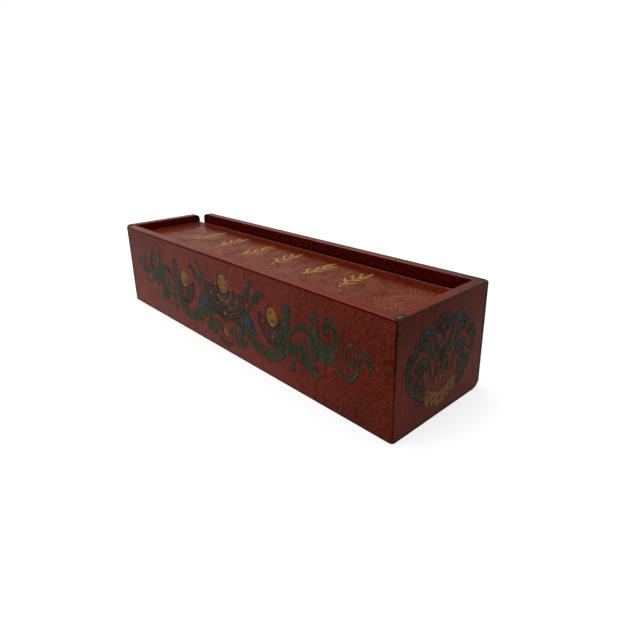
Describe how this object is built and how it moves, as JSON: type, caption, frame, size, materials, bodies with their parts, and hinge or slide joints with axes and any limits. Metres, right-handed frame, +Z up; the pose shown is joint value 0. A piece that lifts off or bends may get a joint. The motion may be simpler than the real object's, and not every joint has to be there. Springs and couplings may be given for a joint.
{
  "type": "sliding-lid lacquer box",
  "caption": "Long red lacquered wooden box with a sliding lid, mitred corners and a recessed lid panel, ornamented with painted scrollwork.",
  "frame": {"origin": "centre of the base's underside, where the box rests", "axes": "+X along the box towards its closed end, -Y out of the decorated front, +Z up out of the rim"},
  "size_m": [0.3805, 0.101, 0.082],
  "materials": {
    "red_lacquer": "aged glossy red lacquer over wood, worn dark along the edges",
    "dark_lacquer": "thin dark brown-red lacquer over wood, satin",
    "green_lacquer": "dark green lacquer filled into the red ground, the stems and scrolls",
    "purple_lacquer": "dull purple-brown lacquer filled into the red ground, the petals and clouds",
    "blue_lacquer": "dark blue lacquer filled into the red ground, the small leaves",
    "gold_lacquer": "worn gilding and ochre lacquer, the discs, outlines and leaf sprays",
    "bamboo": "bare split bamboo"
  },
  "bodies": {
    "case": {"front_wall": "red_lacquer", "back_wall": "red_lacquer", "closed_end_wall": "red_lacquer", "low_end_wall": "red_lacquer", "base_board": "dark_lacquer", "base_peg_1": "bamboo", "base_peg_2": "bamboo", "base_peg_3": "bamboo", "base_peg_4": "bamboo", "base_peg_5": "bamboo", "base_peg_6": "bamboo", "base_peg_7": "bamboo", "base_peg_8": "bamboo", "base_peg_9": "bamboo", "base_peg_10": "bamboo", "base_peg_11": "bamboo", "base_peg_12": "bamboo"},
    "lid": {"lid_board": "red_lacquer", "lid_rail": "red_lacquer", "rail_peg_1": "bamboo", "rail_peg_2": "bamboo", "rail_peg_3": "bamboo"}
  },
  "joints": [
    {"name": "lid_slide", "type": "slide", "parent": "case", "child": "lid", "axis": [-1, 0, 0], "range_m": [-0.0195, 0.345]}
  ]
}
